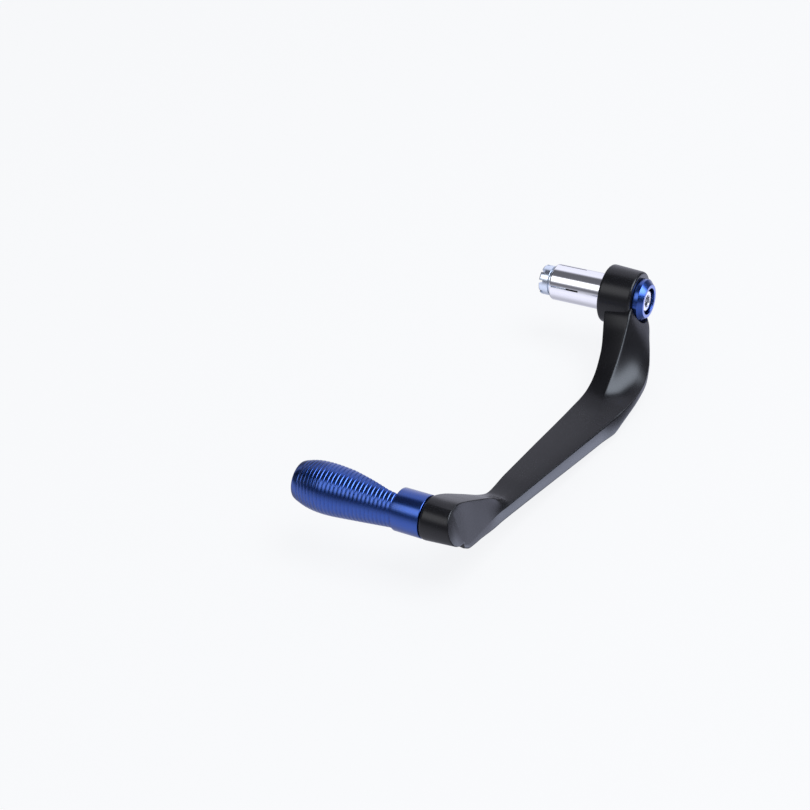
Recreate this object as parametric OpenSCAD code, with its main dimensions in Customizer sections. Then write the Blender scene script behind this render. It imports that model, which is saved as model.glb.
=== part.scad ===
// Lever guard for the right end of a handlebar, lying with its broad face up.
// X runs outwards along the bar end plug, Y runs back from the guarded lever to the bar,
// Z is up. The origin is on the plug's axis, in the face that meets the end of the bar.

/* [Bar end plug] */
// Outer diameter of the slotted expander sleeve, which fits the bore of the bar
sleeve_d = 17.5; // [13:0.1:21]
// Length of the sleeve from the arm's boss to its free end
sleeve_len = 27.5; // [24:0.5:45]
// Bore of the sleeve
sleeve_bore = 10.4; // [9:0.1:11]
// Chamfer on the free end of the sleeve
sleeve_chamfer = 0.8; // [0.3:0.1:1.2]
// Number of slots in the sleeve
slot_count = 4; // [3:1:6]
// Width of each slot
slot_w = 1; // [0.6:0.1:1.6]
// Length of each slot from the free end
slot_len = 17; // [12:0.5:22]
// Diameter of the flange on the cone nut
flange_d = 14.4; // [13.6:0.1:17]
// Thickness of the flange on the cone nut
flange_t = 4.8; // [3.5:0.1:7]
// Gap left between the sleeve and the flange
flange_gap = 1.2; // [0.6:0.1:2]
// Large diameter of the cone, next to the flange
cone_d = 12.8; // [12:0.1:13.4]
// Length of the cone
cone_len = 9; // [6:0.5:12]
// Width of the cross slots in the flange
cross_w = 2.4; // [1.5:0.1:3.2]
// Depth of the cross slots in the flange
cross_depth = 2; // [1:0.1:3]
// Depth of the seat in the boss that centres the sleeve
seat_depth = 0.6; // [0.4:0.1:1]

/* [Clamp bolt] */
// Thread diameter of the clamp bolt
bolt_d = 6; // [5:0.5:7]
// Diameter of the bolt's socket head
head_d = 10; // [9:0.1:11]
// Height of the bolt's socket head
head_h = 6; // [5:0.5:7]
// Size across the flats of the hexagon socket
hex_af = 5; // [4:0.5:6]
// Depth of the hexagon socket
hex_depth = 3; // [2:0.5:4]
// Outer diameter of the washer under the head
washer_d = 11.6; // [11.2:0.1:12]
// Thickness of the washer under the head
washer_t = 1; // [0.6:0.1:1.6]

/* [Bar end cap] */
// Outer diameter of the cap
cap_d = 20.6; // [18:0.2:24]
// Thickness of the cap outside the boss
cap_t = 5; // [4:0.5:8]
// Diameter of the recess for the bolt's head
recess_d = 12.6; // [12.4:0.1:14]
// Diameter of the spigot that locates the cap in the boss
spigot_d = 16; // [15.5:0.1:18]
// Length of the spigot
spigot_len = 7; // [5.5:0.5:8]
// Thickness of the floor under the washer
cap_floor = 2; // [1.5:0.1:3]
// Rounding of the cap's front edge
cap_round = 1.8; // [0.8:0.1:2.4]
// Chamfer on the cap's back edge
cap_chamfer = 0.6; // [0.3:0.1:1]

/* [Arm] */
// Diameter of the boss at the face that meets the bar
boss_d = 28.2; // [26:0.2:32]
// Diameter of the boss at its outer face
boss_front_d = 26.4; // [25:0.2:30]
// Length of the boss along the plug
boss_len = 16.3; // [14:0.1:20]
// Rounding of the boss's edges
boss_round = 1.5; // [0.6:0.1:2]
// Distance from the plug's axis to the tip's axis
reach = 171.7; // [155:0.5:195]
// Place of the tip's seat along X, negative is inwards
seat_x = -5.1; // [-10:0.1:-3]
// Distance from the plug's axis to the elbow
elbow_y = 62; // [58:0.5:68]
// Depth of the broad face at the elbow below the plug's axis
elbow_drop = 21.5; // [18:0.5:25]
// Depth of the broad face where it meets the end block
end_drop = 13.7; // [12.5:0.1:16]
// Place of the inner edge along X at the elbow
inner_x = 8.5; // [6.5:0.1:10]
// Width of the broad face at the elbow
elbow_w = 20.5; // [18:0.5:24]
// Width of the broad face where it meets the end block
end_w = 11.4; // [9:0.2:12.4]
// Height of the outer face at the elbow
elbow_h = 8.8; // [8:0.2:11]
// Height of the outer face at the end block
end_h = 5.9; // [5.5:0.1:8]
// Extra depth of the inner wall below the outer face
inner_skirt = 2.6; // [1:0.2:3.4]
// Width of the neck's top face
ridge_w = 10.2; // [9:0.1:11]
// Greatest reach of the neck's flared flank along X
flare_x = 32.2; // [30:0.2:34]
// Depth of the scoop in the flank
scoop = 1.6; // [0.6:0.1:1.8]
// Diameter of the round end block at the tip's seat
end_d = 19.4; // [19:0.1:21]
// Diameter of the end block at its flat
end_front_d = 16.8; // [16:0.1:18.6]
// Place along X of the flat on the end block, level with the tip's axis
flat_x = 9.6; // [8.6:0.1:10.6]
// Lean of that flat from upright, in degrees
flat_lean = 12; // [6:1:16]
// Thickness of the walls round the pocket
wall = 1.7; // [1.5:0.1:2.2]
// Thickness of the cross wall in the pocket
web_t = 3; // [2:0.5:5]

/* [End tip] */
// Diameter of the tip's collar
collar_d = 19.1; // [18.4:0.1:19.6]
// Length of the collar
collar_len = 13.1; // [10:0.1:16]
// Length of the whole tip
tip_len = 62.6; // [56:0.2:75]
// Diameter of the waist next to the collar
waist_d = 17.8; // [16:0.1:18]
// Greatest diameter of the ribbed body
belly_d = 24.8; // [21:0.1:28]
// Diameter of the free end
end_face_d = 17; // [15:0.1:19]
// Pitch of the ribs
rib_pitch = 2.35; // [1.8:0.05:3.2]
// Depth of the grooves between the ribs
rib_depth = 0.4; // [0.3:0.05:0.8]
// Wall of the hollow body
tip_wall = 3; // [2.2:0.1:3.6]
// Distance of the cut face from the tip's axis
cut_offset = 1.8; // [0.5:0.1:3]
// Turn of the open side about the tip's axis, from level towards the ground, in degrees
cut_turn = 22; // [0:1:30]

/* [Tip screw] */
// Thread diameter of the tip screw
screw_d = 5; // [4:0.5:6]
// Diameter of its socket head
screw_head_d = 8.5; // [8:0.1:9]
// Height of its socket head
screw_head_h = 5; // [4:0.5:6]
// Length of the screw under its head
screw_len = 18; // [16:0.5:19]
// Thickness of the spring washer
spring_t = 1.2; // [0.8:0.1:1.6]

/* [Hidden] */
$fn = 64;
fit = 0.15;
cap_gap = 0.4;
seat_gap = 0.2;
seat_d = sleeve_d - 2 * seat_gap;
cut = 1;

floor_x = boss_len - spigot_len + cap_floor;
head_x = floor_x + washer_t;
flange_x = -sleeve_len - flange_gap;
nut_end_x = flange_x - flange_t;
bolt_len = head_x - nut_end_x;
mouth = 8;
screw_bore = screw_head_d + 1;
screw_seat = collar_len - screw_head_h - spring_t - 1;
body_start = collar_len + 0.3;
rib_count = floor((tip_len - body_start - 2) / rib_pitch);
belly_at = 0.68;

// Runs of the arm's long edges. Each guide is a list of [y, value] pairs.
root = 6;
neck_y = 13;
run_end = 30;
block_y = 12;

function smooth(t) = t * t * (3 - 2 * t);
function spot(g, y, i) =
    i >= len(g) - 1 ? g[len(g) - 1][1] :
    y >= g[i][0] ? g[i][1] :
    y < g[i + 1][0] ? spot(g, y, i + 1) :
    let(t = (g[i][0] - y) / (g[i][0] - g[i + 1][0]))
    let(a = g[i][1], b = g[i + 1][1], span = g[i][0] - g[i + 1][0])
    let(before = i > 0 ? (b - g[i - 1][1]) / (g[i - 1][0] - g[i + 1][0]) * span : b - a)
    let(after = i < len(g) - 2 ? (g[i + 2][1] - a) / (g[i][0] - g[i + 2][0]) * span : b - a)
    (2 * t * t * t - 3 * t * t + 1) * a + (t * t * t - 2 * t * t + t) * before
    + (3 * t * t - 2 * t * t * t) * b + (t * t * t - t * t) * after;
function along(g, y) = spot(g, y, 0);

elbow = -elbow_y;
last = -reach + run_end;
tail = -reach + block_y;
end = -reach - 1;
bend = last + 8;
ramp = last - 9;
end_in = seat_x + 0.5;
end_up = end_d / 2 - 0.9;
outer_drop = elbow_drop + 1.5;
outer_end_drop = end_drop + 1.2;
neck_x = 4.3;
function flat_at(z) = flat_x - z * tan(flat_lean);

inner_top = [[root, neck_x], [-neck_y, neck_x], [-30, inner_x + 0.4], [-48, inner_x + 1.6],
             [elbow, inner_x], [last, inner_x - 6.1], [ramp, inner_x - 9.2],
             [tail, end_in + 0.2], [end, end_in]];
ridge_x = [[root, boss_len - 1.5], [-neck_y, boss_len + 1], [-30, inner_x + ridge_w - 0.1],
           [-48, inner_x + ridge_w + 0.1], [elbow, inner_x + ridge_w + 1.4], [bend, inner_x + 2],
           [ramp, flat_at(-4)], [tail, flat_at(4)], [end, flat_at(end_up)]];
outer_top = [[root, boss_len - 1.5], [0, flare_x - 11.6], [-7, flare_x - 8.4], [-neck_y, flare_x - 5.8],
             [-20, flare_x - 3.2], [-30, flare_x - 0.8], [-40, flare_x - 0.4], [-50, flare_x - 1.4],
             [elbow, inner_x + elbow_w - 0.4], [last, inner_x - 6.1 + end_w],
             [ramp, flat_at(-14.2)], [tail, flat_at(-12.8)], [end, flat_at(-11)]];
lean = [[root, 0.1], [-30, 0.3], [-50, 1], [elbow, 1.3], [elbow - 10, 0.5], [last, 0.3],
        [ramp, 0.8], [tail, 1.1], [end, 1.1]];
inner_z = [[root, 0], [-neck_y, 0], [-20, -6], [-30, -12], [-40, -18], [-50, -elbow_drop + 0.9],
           [elbow, -elbow_drop], [bend, -end_drop + 0.4], [last, -end_drop + 4.2], [ramp, -3.2],
           [tail, 3.2], [-reach + 4, end_up - 0.6], [end, end_up]];
ridge_z = [[root, 4], [-neck_y, 1.5], [-20, -3.3], [-30, -10.3], [-40, -16.3], [-48, -elbow_drop + 1.2],
           [-54, -elbow_drop - 0.1], [elbow, -elbow_drop - 0.6], [bend, -end_drop - 0.5],
           [last, -end_drop + 3.6], [ramp, -4], [tail, 4], [-reach + 4, end_up - 0.6], [end, end_up]];
outer_z = [[root, -9], [0, -12], [-7, -15.8], [-neck_y, -18.8], [-20, -21.3], [-30, -22.8], [-40, -23.3],
           [-50, -23.5], [elbow, -outer_drop], [last, -outer_end_drop], [ramp, -14.2],
           [tail, -12.8], [end, -11]];
outer_low = [[root, -11], [0, -13.8], [-7, -18], [-neck_y, -21], [-20, -23.5], [-30, -25.8],
             [-40, -26.6], [-50, -27.8], [elbow + 6, -outer_drop - elbow_h + 2.6],
             [elbow - 2, -outer_drop - elbow_h], [last, -outer_end_drop - end_h], [ramp, -19.2],
             [tail, -15.4], [end, -12.4]];
inner_low = [[root, -11], [0, -13], [-neck_y, -19], [-30, -25.6], [-44, -28.8],
             [elbow, -outer_drop - elbow_h - inner_skirt],
             [last, -outer_end_drop - end_h - 0.5 * inner_skirt], [tail, -14.6], [end, -8.6]];
inner_low_x = [[root, neck_x], [-neck_y, neck_x], [-30, inner_x + 0.4], [-48, inner_x + 1],
               [elbow, inner_x - 1], [last, inner_x - 8], [tail, end_in + 0.4], [end, end_in]];
scooped = [[root, 0], [-neck_y, 0.3], [-24, 0.7], [-36, 1], [-44, 0.8], [-52, 0], [end, 0]];

// Depth of the scoop at t of the way across the flank
function scoop_at(y, t) = scoop * along(scooped, y) * sin(180 * t);
function flank(y, t) =
    let(a = [along(ridge_x, y), along(ridge_z, y)], b = [along(outer_top, y), along(outer_z, y)])
    let(across = b - a, inward = [across[1], -across[0]] / norm(across))
    let(p = a + across * t + inward * scoop_at(y, t))
    [p[0], y, p[1]];
function section(y) = concat(
    [[along(inner_top, y), y, along(inner_z, y)]],
    [for (t = [0:0.25:1]) flank(y, t)],
    [[along(outer_top, y) + along(lean, y), y, along(outer_low, y)],
     [along(inner_low_x, y), y, along(inner_low, y)]]);

function middle(a, b) = (a + b) / 2;
function pocket_section(y) =
    let(sunk = scoop_at(y, 0.5))
    let(depth = middle(along(ridge_x, y), along(outer_top, y)) - wall / 2 - sunk)
    let(roof = min(along(inner_z, y), along(ridge_z, y)) - wall)
    let(shelf = middle(along(ridge_z, y), along(outer_z, y)) - 1.3 * wall - sunk)
    [[along(inner_low_x, y) - mouth, y, along(inner_z, y) - wall],
     [along(ridge_x, y) - wall, y, roof],
     [depth, y, shelf],
     [depth, y, along(outer_low, y) + wall],
     [along(inner_low_x, y) - mouth, y, along(inner_low, y) + wall]];

function steps(a, b, n) = [for (i = [0:n]) a + (b - a) * i / n];

// Solid skinned over a run of sections that have the same number of corners
module skin(rows) {
    n = len(rows[0]);
    m = len(rows);
    side = [for (j = [0:m - 2], i = [0:n - 1]) each [
        [j * n + i, j * n + (i + 1) % n, (j + 1) * n + i],
        [j * n + (i + 1) % n, (j + 1) * n + (i + 1) % n, (j + 1) * n + i]]];
    near = [for (i = [1:n - 2]) [0, i + 1, i]];
    far = [for (i = [1:n - 2]) [(m - 1) * n, (m - 1) * n + i, (m - 1) * n + i + 1]];
    polyhedron(points = [for (r = rows) each r], faces = concat(side, near, far));
}

module along_x(x) { translate([x, 0, 0]) rotate([0, 90, 0]) children(); }
module at_tip() { translate([seat_x, -reach, 0]) children(); }

// Disc from x to x + len, tapering from d1 to d2, with rounded outer edges
function edge(d, z, r, from) = [for (a = [from:15:from + 90]) [d / 2 - r + r * cos(a), z + r * sin(a)]];
module round_disc(x, len, d1, d2, r) {
    along_x(x) rotate_extrude() polygon(concat(
        [[0, 0]], edge(d1, r, r, -90), edge(d2, len - r, r, 0), [[0, len]]));
}

// Round block that carries the tip, with its leaning flat
module end_block() {
    at_tip() difference() {
        round_disc(0, flat_x - seat_x + 4, end_d, end_front_d, 0.7);
        translate([flat_x - seat_x, 0, 0]) rotate([0, -flat_lean, 0])
            translate([0, -end_d, -end_d]) cube([end_d, 2 * end_d, 2 * end_d]);
    }
}

module guard_arm() {
    color([0.16, 0.16, 0.18]) difference() {
        union() {
            round_disc(0, boss_len, boss_d, boss_front_d, boss_round);
            skin([for (y = concat(steps(root, elbow - 8, 24), steps(elbow - 20, bend, 4),
                                  steps(last, end, 12))) section(y)]);
            end_block();
        }
        skin([for (y = steps(-17, elbow + web_t, 10)) pocket_section(y)]);
        skin([for (y = concat(steps(elbow, elbow - 10, 3), steps(elbow - 20, bend, 4),
                              steps(last, last - 12, 3))) pocket_section(y)]);
        along_x(-cut) cylinder(d = bolt_d + 0.6, h = boss_len + 2 * cut);
        along_x(-cut) cylinder(d = sleeve_d + 2 * seat_gap, h = cut + seat_depth);
        along_x(boss_len - spigot_len) cylinder(d = spigot_d + 2 * fit, h = spigot_len + cut);
        along_x(boss_len) cylinder(d = cap_d + 2 * cap_gap, h = flare_x);
        at_tip() along_x(-cut) cylinder(d = screw_d, h = screw_len - screw_seat + 1 + cut);
    }
}

function tip_r(s) =
    let(t = (s - body_start) / (tip_len - body_start))
    t < belly_at
    ? waist_d / 2 + (belly_d - waist_d) / 2 * middle(t / belly_at, smooth(t / belly_at))
    : belly_d / 2 - (belly_d - end_face_d) / 2 * pow((t - belly_at) / (1 - belly_at), 1.9);

module tip_profile() {
    ribs = [for (i = [0:rib_count - 1]) let(s = body_start + 0.5 + i * rib_pitch) each [
        [tip_r(s) - rib_depth, s], [tip_r(s + 0.3 * rib_pitch), s + 0.3 * rib_pitch],
        [tip_r(s + 0.7 * rib_pitch), s + 0.7 * rib_pitch]]];
    polygon(concat(
        [[0, 0], [collar_d / 2, 0], [collar_d / 2, collar_len - 0.5],
         [collar_d / 2 - 0.5, collar_len], [waist_d / 2, body_start]],
        ribs,
        [[tip_r(tip_len - 1.2), tip_len - 1.2], [end_face_d / 2 - 1, tip_len], [0, tip_len]]));
}

module end_tip() {
    color([0.24, 0.36, 0.72]) at_tip() difference() {
        rotate([0, -90, 0]) rotate_extrude() tip_profile();
        rotate([0, -90, 0]) translate([0, 0, screw_seat]) cylinder(d = screw_bore, h = tip_len);
        along_x(-tip_len) cylinder(d = screw_d + 0.4, h = tip_len + cut);
        rotate([0, -90, 0]) translate([0, 0, collar_len + 6]) cylinder(
            r1 = waist_d / 2 - tip_wall, r2 = belly_d / 2 - tip_wall,
            h = belly_at * (tip_len - collar_len - 6));
        rotate([0, -90, 0]) translate([0, 0, collar_len + 6 + belly_at * (tip_len - collar_len - 6)])
            cylinder(r1 = belly_d / 2 - tip_wall, r2 = end_face_d / 2 - tip_wall,
                     h = (1 - belly_at) * (tip_len - collar_len - 6) + 0.01);
        rotate([-cut_turn, 0, 0]) translate([0, 0, -belly_d]) linear_extrude(2 * belly_d) polygon([
            [-collar_len, -1.5], [-collar_len - 11, cut_offset], [-tip_len - cut, cut_offset],
            [-tip_len - cut, belly_d], [-collar_len, belly_d]]);
    }
}

module tip_screw() {
    color([0.12, 0.12, 0.13]) at_tip() rotate([0, -90, 0]) translate([0, 0, screw_seat + spring_t])
        difference() {
            union() {
                cylinder(d = screw_head_d, h = screw_head_h);
                translate([0, 0, -screw_len]) cylinder(d = screw_d, h = screw_len + 0.01);
            }
            translate([0, 0, screw_head_h - 2.5]) cylinder(d = 4 / cos(30), h = 3, $fn = 6);
        }
}

module spring_washer() {
    color([0.6, 0.6, 0.62]) at_tip() rotate([0, -90, 0]) translate([0, 0, screw_seat]) difference() {
        cylinder(d = screw_head_d - 0.2, h = spring_t);
        translate([0, 0, -cut]) cylinder(d = screw_d + 0.3, h = spring_t + 2 * cut);
        translate([screw_d / 2, -0.5, -cut]) cube([screw_head_d, 1, spring_t + 2 * cut]);
    }
}

// Outline of the cap, turned about its axis, with z measured from the boss
module cap_profile() {
    front = [for (a = [0:15:90]) [cap_d / 2 - cap_round * (1 - cos(a)), cap_t - cap_round * (1 - sin(a))]];
    polygon(concat([[0, -spigot_len], [spigot_d / 2, -spigot_len], [spigot_d / 2, 0],
                    [cap_d / 2 - cap_chamfer, 0], [cap_d / 2, cap_chamfer]], front, [[0, cap_t]]));
}

module bar_end_cap() {
    color([0.3, 0.42, 0.78]) difference() {
        along_x(boss_len) rotate_extrude() cap_profile();
        along_x(floor_x) cylinder(d = recess_d, h = cap_t + spigot_len);
        along_x(0) cylinder(d = bolt_d + 0.6, h = boss_len + cap_t + cut);
    }
}

module clamp_bolt() {
    color([0.7, 0.7, 0.72]) difference() {
        union() {
            along_x(head_x) cylinder(d = head_d, h = head_h);
            along_x(head_x - bolt_len) cylinder(d = bolt_d, h = bolt_len + 0.01);
        }
        along_x(head_x + head_h - hex_depth) cylinder(d = hex_af / cos(30), h = hex_depth + cut, $fn = 6);
    }
}

module bolt_washer() {
    color([0.75, 0.75, 0.77]) along_x(floor_x) difference() {
        cylinder(d = washer_d, h = washer_t);
        translate([0, 0, -cut]) cylinder(d = bolt_d + 0.4, h = washer_t + 2 * cut);
    }
}

module expander_sleeve() {
    color([0.72, 0.72, 0.75]) difference() {
        union() {
            along_x(-sleeve_len + sleeve_chamfer)
                cylinder(d = sleeve_d, h = sleeve_len - sleeve_chamfer);
            along_x(-cut) cylinder(d = seat_d, h = cut + seat_depth);
            along_x(-sleeve_len) cylinder(d1 = sleeve_d - 2 * sleeve_chamfer, d2 = sleeve_d, h = sleeve_chamfer);
        }
        along_x(-sleeve_len - cut) cylinder(d = sleeve_bore, h = sleeve_len + seat_depth + 2 * cut);
        along_x(flange_x) cylinder(d1 = cone_d + 2 * fit, d2 = sleeve_bore, h = cone_len);
        for (i = [0:slot_count - 1]) rotate([i * 360 / slot_count + 35, 0, 0])
            translate([-sleeve_len - cut, -slot_w / 2, 0]) cube([slot_len + cut, slot_w, sleeve_d]);
    }
}

module cone_nut() {
    color([0.72, 0.78, 0.86]) difference() {
        union() {
            round_disc(nut_end_x, flange_t, flange_d, flange_d, 0.6);
            along_x(flange_x - 0.01) cylinder(d1 = cone_d, d2 = sleeve_bore - 2 * fit, h = cone_len);
        }
        along_x(nut_end_x - cut) cylinder(d = bolt_d, h = flange_t + cone_len + 3 * cut);
        for (a = [0, 90]) rotate([a + 20, 0, 0])
            translate([nut_end_x - cut, -cross_w / 2, -flange_d]) cube([cross_depth + cut, cross_w, 2 * flange_d]);
    }
}

guard_arm();
end_tip();
tip_screw();
spring_washer();
bar_end_cap();
clamp_bolt();
bolt_washer();
expander_sleeve();
cone_nut();
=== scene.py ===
import math
import bmesh
import bpy
from mathutils import Matrix, Vector


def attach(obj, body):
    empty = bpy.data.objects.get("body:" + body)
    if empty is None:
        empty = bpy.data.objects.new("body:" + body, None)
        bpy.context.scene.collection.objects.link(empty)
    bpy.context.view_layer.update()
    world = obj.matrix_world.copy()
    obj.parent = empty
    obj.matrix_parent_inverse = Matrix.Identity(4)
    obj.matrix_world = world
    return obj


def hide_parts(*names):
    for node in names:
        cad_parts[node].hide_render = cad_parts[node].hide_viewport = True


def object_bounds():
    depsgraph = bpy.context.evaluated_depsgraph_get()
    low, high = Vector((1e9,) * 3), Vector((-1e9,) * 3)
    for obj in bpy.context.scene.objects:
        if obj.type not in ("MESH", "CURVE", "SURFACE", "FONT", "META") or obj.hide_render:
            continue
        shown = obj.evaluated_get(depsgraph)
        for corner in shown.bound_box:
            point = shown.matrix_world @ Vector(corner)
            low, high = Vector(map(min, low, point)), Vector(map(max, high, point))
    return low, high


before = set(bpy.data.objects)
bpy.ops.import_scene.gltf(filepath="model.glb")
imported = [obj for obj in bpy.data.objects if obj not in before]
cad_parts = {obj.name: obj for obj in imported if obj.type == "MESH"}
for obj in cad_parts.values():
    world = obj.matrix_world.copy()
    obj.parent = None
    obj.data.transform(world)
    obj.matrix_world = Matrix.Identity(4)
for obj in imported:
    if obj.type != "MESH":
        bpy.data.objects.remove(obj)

cad_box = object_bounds()
MM = 0.001
scene = bpy.context.scene

# Camera, at the photograph's viewing angle. It looks down on the guard's broad face
# from in front, a little from the side of the bar end cap.
CAMERA_PLACE = (289.7, -605.5, 478.0)
CAMERA_AHEAD = (-0.4430, 0.6450, -0.6227)
CAMERA_ROLL = 8.47
FOCAL_LENGTH, SENSOR_WIDTH = 75.8, 36
NEAREST_SEEN = 0.05
camera = bpy.data.objects.new("camera", bpy.data.cameras.new("camera"))
scene.collection.objects.link(camera)
camera.data.lens = FOCAL_LENGTH
camera.data.sensor_width = SENSOR_WIDTH
camera.data.clip_start = NEAREST_SEEN
aim = Vector(CAMERA_AHEAD).to_track_quat("-Z", "Y").to_matrix()
roll = Matrix.Rotation(math.radians(-CAMERA_ROLL), 3, "Z")
camera.matrix_world = (aim @ roll).to_4x4()
camera.location = Vector(CAMERA_PLACE) * MM
scene.camera = camera
scene.view_settings.view_transform = "Standard"

# Studio: a plain pale floor just under the guard that shows nearly white and keeps a
# faint shadow, one soft box overhead on the cap's side, and an evenly grey room that shows
# light and dark panels round the guard in reflections.
FLOOR_COLOUR = (0.955, 0.964, 0.982)
FLOOR_GLOW, FLOOR_SIZE, FLOOR_GAP = 0.9, 6, 0.5
ROOM_GREY = 0.5
# Panels of the room: angle round X in degrees from +Y towards +Z, brightness there, and
# the share of it that is left at the panel's two ends.
PANELS = [
    (-170, 0.9, 0.9), (-155, 1.0, 0.9), (-130, 0.9, 0.9), (-110, 0.65, 0.8), (-90, 0.5, 0.6),
    (-45, 0.65, 0.5), (-20, 0.7, 0.4), (0, 0.95, 0.2), (25, 0.96, 0.2), (38, 0.98, 0.6),
    (52, 1.0, 0.6), (58, 0.75, 0.5), (65, 0.2, 0.3), (72, 0.13, 0.3), (104, 0.14, 0.3),
    (108, 0.25, 0.2), (113, 1.5, 0.06), (117, 2.2, 0.05), (137, 2.2, 0.05), (143, 1.2, 0.1),
    (150, 0.3, 0.3), (156, 0.16, 0.5), (165, 0.2, 0.8), (173, 0.5, 0.9)]
PANEL_TINT, BRIGHT_TINT, BRIGHT_FROM = (0.97, 0.98, 1.15), (0.97, 0.98, 1.03), 1.05
BEHIND = (0.65, 0.66, 0.74, 0.9)
# where the panels are full and where they have faded, along X, at each of their ends
PANEL_ENDS = [(-0.1, 0.4), (-0.5, -0.62)]
# Three bright panels: the way to the middle, cosines of outer and inner edge, and colour.
BRIGHT_PANELS = [((0.67, 0.38, -0.638), 0.97, 0.99, (2.4, 2.65, 3.4)),
                 ((0.5, 0.69, -0.52), 0.93, 0.97, (1.1, 1.15, 1.5)),
                 ((0.66, 0.15, 0.736), 0.865, 0.985, (7.6, 8.4, 9.6))]
TOP_BOX_PLACE, TOP_BOX_AIM = (0.5, -0.1, 1.2), (0, -0.08, 0)
TOP_BOX_SIZE, TOP_BOX_POWER = (0.7, 0.7), 9


def node_of(tree, kind, **values):
    made = tree.nodes.new(kind)
    for name, value in values.items():
        setattr(made, name, value)
    return made


def floor_finish():
    """Pale paper that glows a little and that reflections look through to the room."""
    made = bpy.data.materials.new("pale_floor")
    made.use_nodes = True
    tree = made.node_tree
    tree.nodes.clear()
    out = node_of(tree, "ShaderNodeOutputMaterial")
    paper = node_of(tree, "ShaderNodeBsdfDiffuse")
    paper.inputs["Color"].default_value = (*FLOOR_COLOUR, 1)
    glow = node_of(tree, "ShaderNodeEmission")
    glow.inputs["Color"].default_value = (*FLOOR_COLOUR, 1)
    mix = node_of(tree, "ShaderNodeMixShader")
    mix.inputs["Fac"].default_value = FLOOR_GLOW
    clear = node_of(tree, "ShaderNodeBsdfTransparent")
    path = node_of(tree, "ShaderNodeLightPath")
    choice = node_of(tree, "ShaderNodeMixShader")
    tree.links.new(paper.outputs[0], mix.inputs[1])
    tree.links.new(glow.outputs[0], mix.inputs[2])
    tree.links.new(path.outputs["Is Glossy Ray"], choice.inputs["Fac"])
    tree.links.new(mix.outputs[0], choice.inputs[1])
    tree.links.new(clear.outputs[0], choice.inputs[2])
    tree.links.new(choice.outputs[0], out.inputs[0])
    return made


bpy.ops.object.select_all(action="DESELECT")
bpy.ops.mesh.primitive_plane_add(size=FLOOR_SIZE, location=(0, 0, cad_box[0][2] - FLOOR_GAP * MM))
floor = bpy.context.object
floor.name = "floor"
floor.data.materials.append(floor_finish())


def studio_room():
    """Room that shows its panels only in reflections. They run round the X axis, and three
    bright ones stand on the side that the guard's outer faces look to."""
    made = bpy.data.worlds.new("room")
    made.use_nodes = True
    tree = made.node_tree
    back = tree.nodes["Background"]
    place = node_of(tree, "ShaderNodeTexCoord")
    parts = node_of(tree, "ShaderNodeSeparateXYZ")
    turn = node_of(tree, "ShaderNodeMath", operation="ARCTAN2")
    share = node_of(tree, "ShaderNodeMapRange")
    share.inputs["From Min"].default_value = -math.pi
    share.inputs["From Max"].default_value = math.pi
    panels = node_of(tree, "ShaderNodeValToRGB")
    stops = panels.color_ramp.elements
    for angle, tone, share_left in PANELS:
        stop = stops.new((angle + 180) / 360)
        tint = PANEL_TINT if tone < BRIGHT_FROM else BRIGHT_TINT
        stop.color = (*[tone * c for c in tint], share_left)
    for stop in (stops[0], stops[len(stops) - 1]):
        stop.color = BEHIND
    ends = []
    for near_x, far_x in PANEL_ENDS:
        end = node_of(tree, "ShaderNodeMapRange", interpolation_type="SMOOTHSTEP")
        end.inputs["From Min"].default_value = far_x
        end.inputs["From Max"].default_value = near_x
        tree.links.new(parts.outputs["X"], end.inputs["Value"])
        ends.append(end)
    middle_part = node_of(tree, "ShaderNodeMath", operation="MULTIPLY")
    fade = node_of(tree, "ShaderNodeMapRange")
    glow = node_of(tree, "ShaderNodeVectorMath", operation="SCALE")
    tree.links.new(place.outputs["Generated"], parts.inputs[0])
    tree.links.new(parts.outputs["Z"], turn.inputs[0])
    tree.links.new(parts.outputs["Y"], turn.inputs[1])
    tree.links.new(turn.outputs[0], share.inputs["Value"])
    tree.links.new(share.outputs["Result"], panels.inputs["Fac"])
    tree.links.new(ends[0].outputs["Result"], middle_part.inputs[0])
    tree.links.new(ends[1].outputs["Result"], middle_part.inputs[1])
    tree.links.new(middle_part.outputs[0], fade.inputs["Value"])
    tree.links.new(panels.outputs["Alpha"], fade.inputs["To Min"])
    tree.links.new(panels.outputs["Color"], glow.inputs[0])
    tree.links.new(fade.outputs["Result"], glow.inputs["Scale"])
    for middle, edge, core, colour in BRIGHT_PANELS:
        aside = node_of(tree, "ShaderNodeVectorMath", operation="DOT_PRODUCT")
        aside.inputs[1].default_value = middle
        near = node_of(tree, "ShaderNodeMapRange", interpolation_type="SMOOTHSTEP")
        near.inputs["From Min"].default_value = edge
        near.inputs["From Max"].default_value = core
        patch = node_of(tree, "ShaderNodeVectorMath", operation="SCALE")
        patch.inputs[0].default_value = colour
        both = node_of(tree, "ShaderNodeVectorMath", operation="ADD")
        tree.links.new(place.outputs["Generated"], aside.inputs[0])
        tree.links.new(aside.outputs["Value"], near.inputs["Value"])
        tree.links.new(near.outputs["Result"], patch.inputs["Scale"])
        tree.links.new(glow.outputs[0], both.inputs[0])
        tree.links.new(patch.outputs[0], both.inputs[1])
        glow = both
    path = node_of(tree, "ShaderNodeLightPath")
    plain = node_of(tree, "ShaderNodeMix", data_type="RGBA")
    plain.inputs["A"].default_value = (ROOM_GREY, ROOM_GREY, ROOM_GREY, 1)
    plain.inputs["B"].default_value = (*FLOOR_COLOUR, 1)
    choice = node_of(tree, "ShaderNodeMix", data_type="RGBA")
    tree.links.new(path.outputs["Is Camera Ray"], plain.inputs["Factor"])
    tree.links.new(plain.outputs["Result"], choice.inputs["A"])
    tree.links.new(glow.outputs[0], choice.inputs["B"])
    tree.links.new(path.outputs["Is Glossy Ray"], choice.inputs["Factor"])
    tree.links.new(choice.outputs["Result"], back.inputs["Color"])
    return made


scene.world = studio_room()


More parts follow.
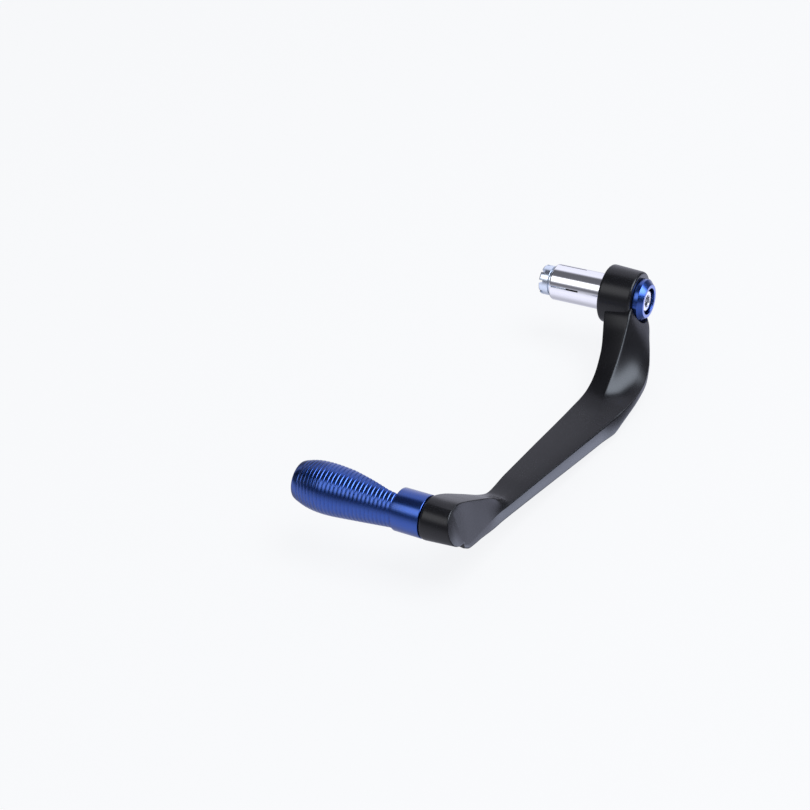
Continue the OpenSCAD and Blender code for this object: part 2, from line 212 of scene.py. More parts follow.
def soft_box(name, place, target, size, power):
    """Oblong lamp with an even face, in metres and watts, turned towards a target."""
    lamp = bpy.data.lights.new(name, "AREA")
    lamp.shape = "RECTANGLE"
    lamp.size = size[0]
    lamp.size_y = size[1]
    lamp.energy = power
    made = bpy.data.objects.new(name, lamp)
    scene.collection.objects.link(made)
    made.location = place
    made.rotation_euler = (Vector(target) - Vector(place)).to_track_quat("-Z", "Y").to_euler()
    return made


top_box = soft_box("top_box", TOP_BOX_PLACE, TOP_BOX_AIM, TOP_BOX_SIZE, TOP_BOX_POWER)
top_box.visible_glossy = False


# Arm of black finished aluminium, milled from one block: a boss for the bar end plug,
# a dropped neck with a flared, scooped flank, a flat tapering bar past the elbow,
# and a round end block with a leaning flat. Its inner side is milled out, and one cross
# wall is left at the elbow.
BOSS_D, BOSS_FRONT_D, BOSS_LEN, BOSS_ROUND = 28.2, 26.4, 16.3, 1.5
SEAT_D, SEAT_DEPTH, BOLT_HOLE_D = 17.9, 0.6, 6.6
SPIGOT_SEAT_D, SPIGOT_LEN = 16.3, 7.0
CAP_SEAT_D, CAP_SEAT_END = 21.4, 34
REACH, SEAT_X = 171.7, -5.1
END_D, END_FRONT_D, END_ROUND, END_EDGE = 19.4, 16.8, 1.9, 0.5
FLAT_X, FLAT_LEAN, FLAT_SPARE = 9.6, 12.0, 4
SCREW_D, TIP_HOLE_DEPTH = 5.0, 13.1
WALL, WEB_T, SCOOP, MOUTH = 1.7, 3.0, 1.6, 8.0
SHELF_WALL = 1.3 * WALL
INNER_ROUND, LOW_ROUND, POCKET_ROUND = 0.7, 1.0, 0.6
FLANK_STEPS = 9
OVERRUN, WELD = 1, 1e-7
ARM_DARK, ARM_LIGHT = (0.005, 0.0052, 0.0066, 1), (0.009, 0.0093, 0.0115, 1)
# Places along the arm, from its root in the boss to the round end block.
ROOT, NECK, ELBOW, LAST, RAMP, TAIL, END = 6.0, -13.0, -62.0, -141.7, -150.7, -159.7, -172.7
NECK_POCKET_START, BAR_POCKET_END = -17, LAST - 12
# The arm's long edges, as (place along Y, value) points. A name with _z or _low at its end
# is a height, lean is how far the outer face's low edge stands past its top edge, the two
# _edge lists are roundings, scooped is a share of the scoop, and the rest are along X.
GUIDES = {
    "inner_top": [(ROOT, 4.3), (NECK, 4.3), (-30, 8.9), (-48, 9.7), (ELBOW, 7.7), (-120, 3.2),
                  (LAST, 2.0), (RAMP, -0.9), (TAIL, -4.4), (END, -4.6)],
    "ridge_x": [(ROOT, 14.8), (NECK, 17.3), (-30, 18.6), (-48, 18.8), (ELBOW, 20.1),
                (-133.7, 10.8), (LAST, 11), (RAMP, 10), (TAIL, 8.75), (END, 7.73)],
    "outer_top": [(ROOT, 14.8), (0, 20.6), (-7, 23.8), (NECK, 26.4), (-20, 29), (-30, 31.4),
                  (-40, 31.8), (-50, 30.8), (ELBOW, 28.6), (LAST, 13.8), (RAMP, 12.62),
                  (TAIL, 12.32), (-170, 11.9), (END, 11.5)],
    "inner_z": [(ROOT, 0), (NECK, 0), (-20, -6), (-30, -12), (-40, -18), (-50, -20.6),
                (ELBOW, -21.5), (-100, -17.9), (-120, -15.8), (-134.7, -14.3), (LAST, -10.2),
                (RAMP, -3.2), (TAIL, 3.4), (-167.7, 8.3), (END, 8.8)],
    "ridge_z": [(ROOT, 4), (NECK, 1.5), (-20, -3.3), (-30, -10.3), (-40, -16.3), (-48, -20.3),
                (-54, -21.6), (ELBOW, -22.1), (-100, -18.3), (-120, -16.2), (-134.7, -14.7),
                (-139.7, -11.6), (-143.7, -7.8), (-147.7, -4.4), (-153.2, -0.7), (TAIL, 3.7),
                (-167.7, 8.5), (END, 8.9)],
    "outer_z": [(ROOT, -9), (0, -12), (-7, -15.8), (NECK, -18.8), (-20, -21.3), (-30, -22.8),
                (-40, -23.3), (-50, -23.5), (ELBOW, -23), (LAST, -14.9), (RAMP, -14.2),
                (TAIL, -12.8), (-170, -10.8), (END, -9)],
    "outer_low": [(ROOT, -11), (0, -13.8), (-7, -18), (NECK, -21), (-20, -23.5), (-30, -25.8),
                  (-40, -26.6), (-50, -27.8), (-56, -29), (-63, -30.6), (LAST, -20.9),
                  (RAMP, -19.3), (TAIL, -16.5), (-165, -15.2), (-170, -13.6), (END, -11.4)],
    "inner_low": [(ROOT, -11), (0, -13), (NECK, -19), (-30, -25.6), (-44, -28.8),
                  (ELBOW, -34.2), (LAST, -22.1), (TAIL, -14.6), (END, -8.6)],
    "inner_low_x": [(ROOT, 4.3), (NECK, 4.3), (-30, 8.9), (-48, 9.5), (ELBOW, 7.5),
                    (LAST, 0.5), (TAIL, -4.2), (END, -4.6)],
    "lean": [(ROOT, 0.1), (-30, 0.3), (-50, 1), (ELBOW, 1.3), (-72, 0.5), (LAST, 0.3),
             (RAMP, 0.7), (TAIL, 0.6), (-170, 0.5), (END, 0.2)],
    "outer_edge": [(ROOT, 0.8), (-50, 0.8), (-66, 2.2), (-140, 2.2), (-152, 0.8), (END, 0.8)],
    "ridge_edge": [(ROOT, 1.4), (-50, 1.4), (ELBOW, 0.6), (END, 0.6)],
    "scooped": [(ROOT, 0), (NECK, 0.3), (-24, 0.7), (-36, 1), (-44, 0.8), (-52, 0), (END, 0)],
}


def along(name, y):
    """Value of a guide at y, on a smooth curve through its points."""
    guide = GUIDES[name]
    if y >= guide[0][0]:
        return guide[0][1]
    for i in range(len(guide) - 1):
        (y0, a), (y1, b) = guide[i], guide[i + 1]
        if y < y1:
            continue
        span = y0 - y1
        t = (y0 - y) / span
        before, after = b - a, b - a
        if i > 0:
            before = (b - guide[i - 1][1]) / (guide[i - 1][0] - y1) * span
        if i < len(guide) - 2:
            after = (guide[i + 2][1] - a) / (y0 - guide[i + 2][0]) * span
        return ((2 * t**3 - 3 * t**2 + 1) * a + (t**3 - 2 * t**2 + t) * before
                + (3 * t**2 - 2 * t**3) * b + (t**3 - t**2) * after)
    return guide[-1][1]


def rounded(corners, pieces=4):
    """Closed outline with each corner (u, v, radius) turned into a short curve, which takes
    less than half of the sides next to it."""
    most, least_slope = 0.45, 0.05
    points = []
    for i, (u, v, radius) in enumerate(corners):
        here = Vector((u, v))
        back = Vector(corners[i - 1][:2]) - here
        ahead = Vector(corners[(i + 1) % len(corners)][:2]) - here
        if radius == 0 or back.length == 0 or ahead.length == 0:
            points.append(here)
            continue
        half = back.angle(ahead) / 2
        run = min(radius / max(math.tan(half), least_slope), most * back.length, most * ahead.length)
        start, stop = here + back.normalized() * run, here + ahead.normalized() * run
        for k in range(pieces + 1):
            t = k / pieces
            points.append(start * (1 - t) ** 2 + here * 2 * t * (1 - t) + stop * t**2)
    return points


def skinned(name, rows):
    """Closed skin over rows of points in millimetres, each row one closed ring."""
    made = bmesh.new()
    rings = [[made.verts.new(Vector(p) * MM) for p in row] for row in rows]
    count = len(rows[0])
    for near, far in zip(rings, rings[1:]):
        for i in range(count):
            j = (i + 1) % count
            made.faces.new((near[i], near[j], far[j], far[i]))
    made.faces.new(list(reversed(rings[0])))
    made.faces.new(rings[-1])
    bmesh.ops.remove_doubles(made, verts=made.verts, dist=WELD)
    bmesh.ops.recalc_face_normals(made, faces=made.faces)
    mesh = bpy.data.meshes.new(name)
    made.to_mesh(mesh)
    made.free()
    piece = bpy.data.objects.new(name, mesh)
    scene.collection.objects.link(piece)
    return piece


def turned(name, outline, centre=(0, 0), steps=128):
    """Solid turned about an axis along X through (y, z), from a closed outline of (x, radius)."""
    mesh = bpy.data.meshes.new(name)
    edges = [(i, i + 1) for i in range(len(outline) - 1)]
    if outline[0][1] > 0:
        edges.append((len(outline) - 1, 0))
    mesh.from_pydata([(x * MM, 0, r * MM) for x, r in outline], edges, [])
    piece = bpy.data.objects.new(name, mesh)
    scene.collection.objects.link(piece)
    bpy.ops.object.select_all(action="DESELECT")
    bpy.context.view_layer.objects.active = piece
    piece.select_set(True)
    bpy.ops.object.mode_set(mode="EDIT")
    bpy.ops.mesh.select_all(action="SELECT")
    bpy.ops.mesh.spin(steps=steps, angle=2 * math.pi, center=(0, 0, 0), axis=(1, 0, 0))
    bpy.ops.mesh.select_all(action="SELECT")
    bpy.ops.mesh.remove_doubles(threshold=WELD)
    bpy.ops.mesh.normals_make_consistent(inside=False)
    bpy.ops.transform.translate(value=(0, centre[0] * MM, centre[1] * MM))
    bpy.ops.object.mode_set(mode="OBJECT")
    return piece


def block(name, low, high):
    """Plain block between two corners, used as a cutter."""
    bpy.ops.object.select_all(action="DESELECT")
    bpy.ops.mesh.primitive_cube_add(size=1)
    piece = bpy.context.object
    piece.name = name
    size = Vector(high) - Vector(low)
    piece.data.transform(Matrix.Translation((Vector(low) + size / 2) * MM)
                         @ Matrix.Diagonal((size * MM).to_4d()))
    return piece


def combine(piece, tool, operation):
    """Joins a second solid to a piece, or cuts it away, and removes the second solid."""
    bpy.ops.object.select_all(action="DESELECT")
    bpy.context.view_layer.objects.active = piece
    step = piece.modifiers.new("step", "BOOLEAN")
    step.operation = operation
    step.solver = "MANIFOLD"
    step.object = tool
    bpy.ops.object.modifier_apply(modifier="step")
    bpy.data.objects.remove(tool)


def soft_edges(piece, width):
    """Rounds every sharp edge of a solid."""
    sharp_from, steps = 35, 3
    bpy.ops.object.select_all(action="DESELECT")
    bpy.context.view_layer.objects.active = piece
    step = piece.modifiers.new("step", "BEVEL")
    step.width = width * MM
    step.segments = steps
    step.limit_method = "ANGLE"
    step.angle_limit = math.radians(sharp_from)
    bpy.ops.object.modifier_apply(modifier="step")


def finished(piece, finish, nodes):
    """Smooth shading, material, slot and body of a finished piece."""
    smooth_below = 32
    bpy.ops.object.select_all(action="DESELECT")
    bpy.context.view_layer.objects.active = piece
    piece.select_set(True)
    bpy.ops.object.shade_smooth_by_angle(angle=math.radians(smooth_below))
    piece.data.materials.clear()
    piece.data.materials.append(finish)
    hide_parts(*nodes)
    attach(piece, "root")


def scoop_at(y, t):
    """Depth of the scoop at y, at share t of the way across the flank."""
    return SCOOP * along("scooped", y) * math.sin(math.pi * t)


def arm_ring(y):
    """Section of the arm at y. The flank's last stretch holds no point of the scoop, so that
    the outer edge has room for its rounding."""
    inner = (along("inner_top", y), along("inner_z", y))
    ridge = Vector((along("ridge_x", y), along("ridge_z", y)))
    outer = Vector((along("outer_top", y), along("outer_z", y)))
    outer_low = (outer[0] + along("lean", y), along("outer_low", y))
    inner_low = (along("inner_low_x", y), along("inner_low", y))
    across = outer - ridge
    inward = Vector((across[1], -across[0])).normalized()
    corners = [(*inner, INNER_ROUND), (*ridge, along("ridge_edge", y))]
    for k in range(1, FLANK_STEPS - 1):
        spot = ridge + across * (k / FLANK_STEPS) + inward * scoop_at(y, k / FLANK_STEPS)
        corners.append((*spot, 0))
    corners += [(*outer, along("outer_edge", y)), (*outer_low, LOW_ROUND), (*inner_low, INNER_ROUND)]
    return [(u, y, v) for u, v in rounded(corners)]


def pocket_ring(y):
    """Section of the pocket at y, a wall's thickness inside the arm and open inwards."""
    sunk = scoop_at(y, 0.5)
    depth = (along("ridge_x", y) + along("outer_top", y)) / 2 - WALL / 2 - sunk
    roof = min(along("inner_z", y), along("ridge_z", y)) - WALL
    shelf = (along("ridge_z", y) + along("outer_z", y)) / 2 - SHELF_WALL - sunk
    lip = along("inner_low_x", y) - MOUTH
    corners = [(lip, along("inner_z", y) - WALL, 0), (along("ridge_x", y) - WALL, roof, POCKET_ROUND),
               (depth, shelf, POCKET_ROUND), (depth, along("outer_low", y) + WALL, POCKET_ROUND),
               (lip, along("inner_low", y) + WALL, 0)]
    return [(u, y, v) for u, v in rounded(corners)]


def rings(start, stop, count, ring):
    """Sections at even steps from start to stop."""
    return [ring(start + (stop - start) * i / count) for i in range(count + 1)]


def tapered_bar(x0, x1, d0, d1, edge):
    """Outline of a solid, slightly tapered disc with rounded edges."""
    return rounded([(x0, 0, 0), (x0, d0 / 2, edge), (x1, d1 / 2, edge), (x1, 0, 0)], 6)


def stepped_bar(*steps):
    """Outline of a solid stepped bar, from (start, end, diameter) steps in order."""
    outline = [(steps[0][0], 0)]
    for x0, x1, d in steps:
        outline += [(x0, d / 2), (x1, d / 2)]
    return outline + [(steps[-1][1], 0)]


def cloudy_finish(name, dark, light, cloud_scale, cloud_detail, smoothest, roughest):
    """Finish whose tone and gloss vary a little together, in soft clouds."""
    made = bpy.data.materials.new(name)
    made.use_nodes = True
    tree = made.node_tree
    shader = tree.nodes["Principled BSDF"]
    place = node_of(tree, "ShaderNodeTexCoord")
    cloud = node_of(tree, "ShaderNodeTexNoise")
    cloud.inputs["Scale"].default_value = cloud_scale
    cloud.inputs["Detail"].default_value = cloud_detail
    tint = node_of(tree, "ShaderNodeValToRGB")
    tint.color_ramp.elements[0].color = dark
    tint.color_ramp.elements[1].color = light
    gloss = node_of(tree, "ShaderNodeMapRange")
    gloss.inputs["To Min"].default_value = smoothest
    gloss.inputs["To Max"].default_value = roughest
    tree.links.new(place.outputs["Object"], cloud.inputs["Vector"])
    tree.links.new(cloud.outputs["Fac"], tint.inputs["Fac"])
    tree.links.new(cloud.outputs["Fac"], gloss.inputs["Value"])
    tree.links.new(tint.outputs["Color"], shader.inputs["Base Color"])
    tree.links.new(gloss.outputs["Result"], shader.inputs["Roughness"])
    return made


def shallow_relief(finish, texture, strength):
    """Relief of a tenth of a millimetre at most over a finish, from a texture's height."""
    tree = finish.node_tree
    place = node_of(tree, "ShaderNodeTexCoord")
    bump = node_of(tree, "ShaderNodeBump")
    bump.inputs["Strength"].default_value = strength
    bump.inputs["Distance"].default_value = 0.1 * MM
    tree.links.new(place.outputs["Object"], texture.inputs["Vector"])
    tree.links.new(texture.outputs["Fac"], bump.inputs["Height"])
    tree.links.new(bump.outputs["Normal"], tree.nodes["Principled BSDF"].inputs["Normal"])


def arm_finish():
    """Satin black finish over fine bead blasting, a little cloudy in tone and gloss."""
    made = cloudy_finish("satin_black", ARM_DARK, ARM_LIGHT, 60, 2, 0.24, 0.3)
    shader = made.node_tree.nodes["Principled BSDF"]
    shader.inputs["Metallic"].default_value = 0
    shader.inputs["IOR"].default_value = 1.38
    grain = node_of(made.node_tree, "ShaderNodeTexNoise")
    grain.inputs["Scale"].default_value = 2600
    grain.inputs["Detail"].default_value = 3
    shallow_relief(made, grain, 0.06)
    return made


arm = skinned("arm", rings(ROOT, END, 170, arm_ring))
combine(arm, turned("boss", tapered_bar(0, BOSS_LEN, BOSS_D, BOSS_FRONT_D, BOSS_ROUND)), "UNION")
end_block = turned("end_block", tapered_bar(SEAT_X, FLAT_X + FLAT_SPARE, END_D, END_FRONT_D, END_ROUND),
                   (-REACH, 0))
flat = block("flat", (0, -END_D, -END_D), (END_D, END_D, END_D))
flat.data.transform(Matrix.Translation((FLAT_X * MM, -REACH * MM, 0))
                    @ Matrix.Rotation(math.radians(-FLAT_LEAN), 4, "Y"))
combine(end_block, flat, "DIFFERENCE")
soft_edges(end_block, END_EDGE)
combine(arm, end_block, "UNION")
neck_pocket = skinned("neck_pocket", rings(NECK_POCKET_START, ELBOW + WEB_T, 40, pocket_ring))
combine(arm, neck_pocket, "DIFFERENCE")
bar_pocket = skinned("bar_pocket", rings(ELBOW, BAR_POCKET_END, 80, pocket_ring))
combine(arm, bar_pocket, "DIFFERENCE")
spigot_x = BOSS_LEN - SPIGOT_LEN
plug_holes = turned("plug_holes", stepped_bar(
    (-OVERRUN, SEAT_DEPTH, SEAT_D), (SEAT_DEPTH, spigot_x, BOLT_HOLE_D),
    (spigot_x, BOSS_LEN, SPIGOT_SEAT_D), (BOSS_LEN, CAP_SEAT_END, CAP_SEAT_D)))
combine(arm, plug_holes, "DIFFERENCE")
tip_hole = turned("tip_hole", stepped_bar((SEAT_X - OVERRUN, SEAT_X + TIP_HOLE_DEPTH, SCREW_D)),
                  (-REACH, 0), 64)
combine(arm, tip_hole, "DIFFERENCE")
finished(arm, arm_finish(), ["guard_arm"])


# Tip of blue anodised aluminium, turned with a plain collar and a ribbed, swelling body,
# then cut away as a half shell on the side towards the bar. A screw through the collar
# holds it to the arm's end block.
COLLAR_D, COLLAR_LEN, COLLAR_ROUND, WAIST_STEP, TIP_LEN = 18.9, 13.1, 0.4, 0.2, 62.6
# Distance from the tip's seat, and radius of the body there.
TIP_RADII = [(13.4, 8.5), (16.4, 8.75), (22, 9.3), (28, 9.9), (34, 10.45), (40, 11.05),
             (45, 11.45), (50, 11.5), (54.5, 11.05), (58, 10.3), (61.3, 9.1), (62.6, 8.4)]
RIB_START, RIB_PITCH, RIB_DEPTH, RIB_COUNT = 13.7, 1.87, 0.2, 25
# One groove, as (share of the pitch, share of the depth), with a broad land after it.
GROOVE = [(0, 0), (0.06, 0.35), (0.14, 0.85), (0.2, 1), (0.26, 0.85), (0.34, 0.35), (0.4, 0), (0.7, 0)]
LAND_END, FREE_EDGE_INSET, FREE_EDGE_ROUND = 1.6, 0.3, 0.8
TIP_WALL, HOLLOW_START = 2.8, COLLAR_LEN + 6
HOLLOW_PLACES = (HOLLOW_START, 25, 31, 37, 43, 48, 53, 57, 60)
HOLLOW_END = TIP_LEN + 0.5
SCREW_EASE, SCREW_SEAT, SCREW_BORE = 0.2, 5.9, 9.5
# Line of the open side, as (distance past the collar, how far it lies towards the bar
# from the tip's axis). The cut is then turned about that axis by CUT_TURN degrees.
CUT_LINE = [(0, -3.2), (5, -2.8), (14, -0.6), (24, 1.8)]
CUT_TURN = 22.0
BLUE_DARK, BLUE_LIGHT = (0.02, 0.068, 0.3, 1), (0.028, 0.086, 0.36, 1)


def tip_radius(s):
    for (s0, a), (s1, b) in zip(TIP_RADII, TIP_RADII[1:]):
        if s <= s1:
            return a + (b - a) * (s - s0) / (s1 - s0)
    return TIP_RADII[-1][1]


def tip_swell(s):
    """Radius of the tip's body, with the bends between the given radii evened out."""
    spread = range(-3, 4)
    return sum(tip_radius(min(max(s + d, TIP_RADII[0][0]), TIP_LEN)) for d in spread) / len(spread)


def tip_outline():
    waist = TIP_RADII[0][1]
    outline = [tuple(p) for p in rounded([
        (0, 0, 0), (0, COLLAR_D / 2, COLLAR_ROUND), (COLLAR_LEN, COLLAR_D / 2, COLLAR_ROUND),
        (COLLAR_LEN + WAIST_STEP, waist, 0), (RIB_START, waist, 0)])]
    for i in range(RIB_COUNT):
        for along_pitch, deep in GROOVE:
            s = RIB_START + (i + along_pitch) * RIB_PITCH
            outline.append((s, tip_swell(s) - RIB_DEPTH * deep))
    start = TIP_LEN - LAND_END
    free_edge = rounded([(start, tip_swell(start), 0),
                         (TIP_LEN, tip_swell(TIP_LEN) - FREE_EDGE_INSET, FREE_EDGE_ROUND), (TIP_LEN, 0, 0)])
    outline += [tuple(p) for p in free_edge[:-1]] + [(TIP_LEN, 0)]
    return [(SEAT_X - s, r) for s, r in outline]


def hollow_outline():
    """Outline of the screw's hole, the well for its head, and the hollow of the body."""
    hole_r, well_r = SCREW_D / 2 + SCREW_EASE, SCREW_BORE / 2
    outline = [(-OVERRUN, 0), (-OVERRUN, hole_r), (SCREW_SEAT, hole_r), (SCREW_SEAT, well_r),
               (HOLLOW_START, well_r)]
    outline += [(s, tip_swell(s) - TIP_WALL) for s in HOLLOW_PLACES]
    outline += [(HOLLOW_END, tip_swell(TIP_LEN) - TIP_WALL), (HOLLOW_END, 0)]
    return [(SEAT_X - s, r) for s, r in outline]


def anodised_finish():
    """Clear blue dye over turned aluminium, with very fine tool marks round the axis."""
    made = cloudy_finish("blue_anodised", BLUE_DARK, BLUE_LIGHT, 120, 2, 0.2, 0.3)
    shader = made.node_tree.nodes["Principled BSDF"]
    shader.inputs["Metallic"].default_value = 1
    shader.inputs["Coat Weight"].default_value = 0.6
    shader.inputs["Coat Roughness"].default_value = 0.12
    marks = node_of(made.node_tree, "ShaderNodeTexWave", bands_direction="X")
    marks.inputs["Scale"].default_value = 1500
    marks.inputs["Distortion"].default_value = 1.5
    shallow_relief(made, marks, 0.05)
    return made


blue = anodised_finish()
tip = turned("tip", tip_outline(), (-REACH, 0), 160)
combine(tip, turned("hollow", hollow_outline(), (-REACH, 0), 160), "DIFFERENCE")
tip_end = -TIP_LEN - OVERRUN
opening = [(-COLLAR_LEN - past, offset) for past, offset in CUT_LINE]
opening += [(tip_end, CUT_LINE[-1][1]), (tip_end, COLLAR_D), (-COLLAR_LEN, COLLAR_D)]
cutter = skinned("opening", [[(SEAT_X + x, y, z) for x, y in opening] for z in (-COLLAR_D, COLLAR_D)])
cutter.data.transform(Matrix.Translation((0, -REACH * MM, 0))
                      @ Matrix.Rotation(math.radians(-CUT_TURN), 4, "X"))
combine(tip, cutter, "DIFFERENCE")
finished(tip, blue, ["end_tip"])


# Bar end cap of the same blue metal: a turned ring with a bevelled front edge and a
# recess for the bolt's head. Its spigot sits in the boss's counterbore, where the clamp
# bolt holds it.
CAP_D, CAP_T, CAP_BEVEL, SPIGOT_D = 20.6, 5.0, 2.3, 16.0
RECESS_D, RECESS_FLOOR = 12.6, 2.0
CAP_EDGE, CAP_BACK_EDGE, CAP_BEVEL_EDGE = 0.3, 0.5, 0.25
cap_front = BOSS_LEN + CAP_T
recess_x = spigot_x + RECESS_FLOOR
cap = turned("cap", rounded([
    (spigot_x, BOLT_HOLE_D / 2, 0), (spigot_x, SPIGOT_D / 2, CAP_EDGE), (BOSS_LEN, SPIGOT_D / 2, 0),
    (BOSS_LEN, CAP_D / 2, CAP_BACK_EDGE), (cap_front - CAP_BEVEL, CAP_D / 2, CAP_BEVEL_EDGE),
    (cap_front, CAP_D / 2 - CAP_BEVEL, CAP_EDGE), (cap_front, RECESS_D / 2, CAP_EDGE),
    (recess_x, RECESS_D / 2, CAP_EDGE), (recess_x, BOLT_HOLE_D / 2, 0)], 7), steps=160)
finished(cap, blue, ["bar_end_cap"])


# Expander sleeve: bright turned tube with saw cuts in its free end, pushed into the bore
# of the handlebar. The cone nut spreads it there as the bolt is tightened.
SLEEVE_D, SLEEVE_LEN, SLEEVE_BORE, SLEEVE_ROUND = 17.5, 27.5, 10.4, 1.1
SEAT_EASE, SEAT_EDGE, CONE_EASE, MOUTH_EDGE = 0.2, 0.1, 0.15, 0.2
SLOT_W, SLOT_LEN, SLOT_COUNT, SLOT_TURN = 0.8, 15.5, 4, 70.0
FLANGE_X, CONE_D, CONE_LEN = -28.7, 12.8, 9.0
SILVER = (0.92, 0.92, 0.93)


def plated_finish(name, colour, rough, mottle):
    """Bright metal with faint cloudy marks in its tone and gloss."""
    dark = (*[c * (1 - mottle) for c in colour], 1)
    made = cloudy_finish(name, dark, (*colour, 1), 300, 4, rough * 0.8, rough * 1.3)
    made.node_tree.nodes["Principled BSDF"].inputs["Metallic"].default_value = 1
    return made


sleeve_r = SLEEVE_D / 2
cone_tip = FLANGE_X + CONE_LEN
sleeve = turned("sleeve", rounded([
    (SEAT_DEPTH, SLEEVE_BORE / 2, 0), (SEAT_DEPTH, sleeve_r - SEAT_EASE, SEAT_EDGE),
    (0, sleeve_r - SEAT_EASE, 0), (0, sleeve_r, 0), (-SLEEVE_LEN, sleeve_r, SLEEVE_ROUND),
    (-SLEEVE_LEN, CONE_D / 2 + CONE_EASE, MOUTH_EDGE), (cone_tip, SLEEVE_BORE / 2, 0)], 5), steps=144)
for i in range(SLOT_COUNT):
    slot = block("slot", (-SLEEVE_LEN - OVERRUN, -SLOT_W / 2, 0),
                 (-SLEEVE_LEN + SLOT_LEN, SLOT_W / 2, SLEEVE_D))
    slot.data.transform(Matrix.Rotation(math.radians(i * 360 / SLOT_COUNT + SLOT_TURN), 4, "X"))
    combine(sleeve, slot, "DIFFERENCE")
finished(sleeve, plated_finish("bright_sleeve", SILVER, 0.1, 0.03), ["expander_sleeve"])


# Cone nut of zinc plated steel: a taper that spreads the sleeve's cut end as the bolt
# draws it in, and a flange with crossing slots in its outer face.
FLANGE_T, FLANGE_D, FLANGE_ROUND, FLANGE_BACK_ROUND = 4.8, 14.4, 0.7, 0.5
CONE_TIP_EDGE, BOLT_D = 0.2, 6.0
CROSS_W, CROSS_DEPTH, CROSS_COUNT, CROSS_TURN = 1.7, 2.0, 4, 20.0
ZINC = (0.72, 0.8, 0.9)
nut_end = FLANGE_X - FLANGE_T
nut = turned("nut", rounded([
    (nut_end, BOLT_D / 2, 0), (nut_end, FLANGE_D / 2, FLANGE_ROUND),
    (FLANGE_X, FLANGE_D / 2, FLANGE_BACK_ROUND), (FLANGE_X, CONE_D / 2, 0),
    (cone_tip, SLEEVE_BORE / 2 - CONE_EASE, CONE_TIP_EDGE), (cone_tip, BOLT_D / 2, 0)], 5))
for i in range(CROSS_COUNT):
    cross = block("cross", (nut_end - OVERRUN, -CROSS_W / 2, -FLANGE_D),
                  (nut_end + CROSS_DEPTH, CROSS_W / 2, FLANGE_D))
    cross.data.transform(Matrix.Rotation(math.radians(i * 180 / CROSS_COUNT + CROSS_TURN), 4, "X"))
    combine(nut, cross, "DIFFERENCE")
finished(nut, plated_finish("zinc_plate", ZINC, 0.22, 0.08), ["cone_nut"])


# Clamp bolt: a long, plated socket head bolt through cap, boss and sleeve into the nut.
# Its head sits in the cap's recess and is turned with a hexagon key.
HEAD_D, HEAD_H, HEX_AF, HEX_DEPTH = 10.0, 8.0, 5.0, 3.0
WASHER_T = 1.0
STEEL = (0.68, 0.68, 0.7)


def socket_bolt(name, under_head, head, socket, shank, way, centre=(0, 0)):
    """Socket head bolt along X, its head on the side that way points to. Head, socket and
    shank are each a diameter, or a width across flats, and a length."""
    shank_round, under_edge, head_round, mouth_edge = 0.5, 0.15, 0.6, 0.2
    # the socket's countersunk mouth: shares of the width across flats, and its depth
    mouth_share, inner_share, mouth_depth = 0.62, 0.56, 0.3
    (head_d, head_h), (hex_af, hex_depth), (shank_d, shank_len) = head, socket, shank
    top, shank_end = under_head + way * head_h, under_head - way * shank_len
    mouth_x = top - way * mouth_depth
    piece = turned(name, rounded([
        (shank_end, 0, 0), (shank_end, shank_d / 2, shank_round), (under_head, shank_d / 2, 0),
        (under_head, head_d / 2, under_edge), (top, head_d / 2, head_round),
        (top, hex_af * mouth_share, mouth_edge), (mouth_x, hex_af * inner_share, 0),
        (mouth_x, 0, 0)], 5), centre, 96)
    bpy.ops.object.select_all(action="DESELECT")
    corner_r = hex_af / 2 / math.cos(math.pi / 6)
    bpy.ops.mesh.primitive_cylinder_add(vertices=6, radius=corner_r * MM, depth=2 * hex_depth * MM)
    hexagon = bpy.context.object
    hexagon.data.transform(Matrix.Translation((top * MM, centre[0] * MM, centre[1] * MM))
                           @ Matrix.Rotation(math.pi / 2, 4, "Y"))
    combine(piece, hexagon, "DIFFERENCE")
    return piece


steel = plated_finish("plain_steel", STEEL, 0.2, 0.08)
head_x = recess_x + WASHER_T
bolt = socket_bolt("bolt", head_x, (HEAD_D, HEAD_H), (HEX_AF, HEX_DEPTH), (BOLT_D, head_x - nut_end), 1)
finished(bolt, steel, ["clamp_bolt"])


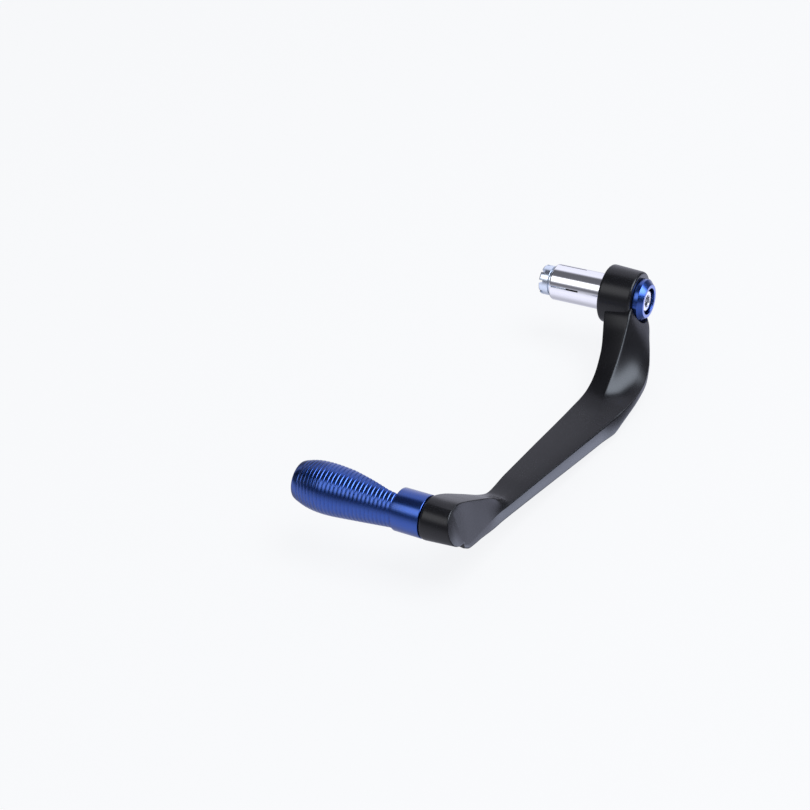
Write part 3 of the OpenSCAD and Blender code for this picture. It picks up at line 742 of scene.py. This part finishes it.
# Flat washer: a plain ring of plated steel. It lies on the floor of the cap's recess,
# and the bolt's head holds it down.
WASHER_D, WASHER_BORE = 11.6, 6.4
BORE_EDGE, RIM_EDGE = 0.1, 0.15
washer = turned("washer", rounded([
    (recess_x, WASHER_BORE / 2, BORE_EDGE), (recess_x, WASHER_D / 2, RIM_EDGE),
    (head_x, WASHER_D / 2, RIM_EDGE), (head_x, WASHER_BORE / 2, BORE_EDGE)], 3))
finished(washer, steel, ["bolt_washer"])


# Tip screw: a black socket head screw, deep in the tip's collar. It runs through the
# collar into the arm's end block and holds the tip there.
SCREW_HEAD_D, SCREW_HEAD_H, SCREW_HEX_AF, SCREW_HEX_DEPTH, SCREW_LEN = 8.5, 5.0, 4.0, 2.5, 18.0
SPRING_T = 1.2
BLACK_OXIDE = (0.05, 0.05, 0.055)
screw_x = SEAT_X - SCREW_SEAT - SPRING_T
screw = socket_bolt("screw", screw_x, (SCREW_HEAD_D, SCREW_HEAD_H), (SCREW_HEX_AF, SCREW_HEX_DEPTH),
                    (SCREW_D, SCREW_LEN), -1, (-REACH, 0))
finished(screw, plated_finish("black_oxide", BLACK_OXIDE, 0.35, 0.2), ["tip_screw"])


# Spring washer: a ring of plain plated steel, split at one place. It lies under the tip
# screw's head and keeps the screw from working loose.
SPRING_D, SPRING_BORE, SPRING_EDGE = 8.3, 5.3, 0.1
SPLIT_W, SPLIT_LOW, SPLIT_HIGH = 1.0, 2, 6
spring_end = screw_x + SPRING_T
spring = turned("spring", rounded([
    (screw_x, SPRING_BORE / 2, 0), (screw_x, SPRING_D / 2, SPRING_EDGE),
    (spring_end, SPRING_D / 2, SPRING_EDGE), (spring_end, SPRING_BORE / 2, 0)], 2), (-REACH, 0), 64)
split = block("split", (screw_x - OVERRUN, -REACH - SPLIT_W / 2, SPLIT_LOW),
              (screw_x + 2 * OVERRUN, -REACH + SPLIT_W / 2, SPLIT_HIGH))
combine(spring, split, "DIFFERENCE")
finished(spring, steel, ["spring_washer"])
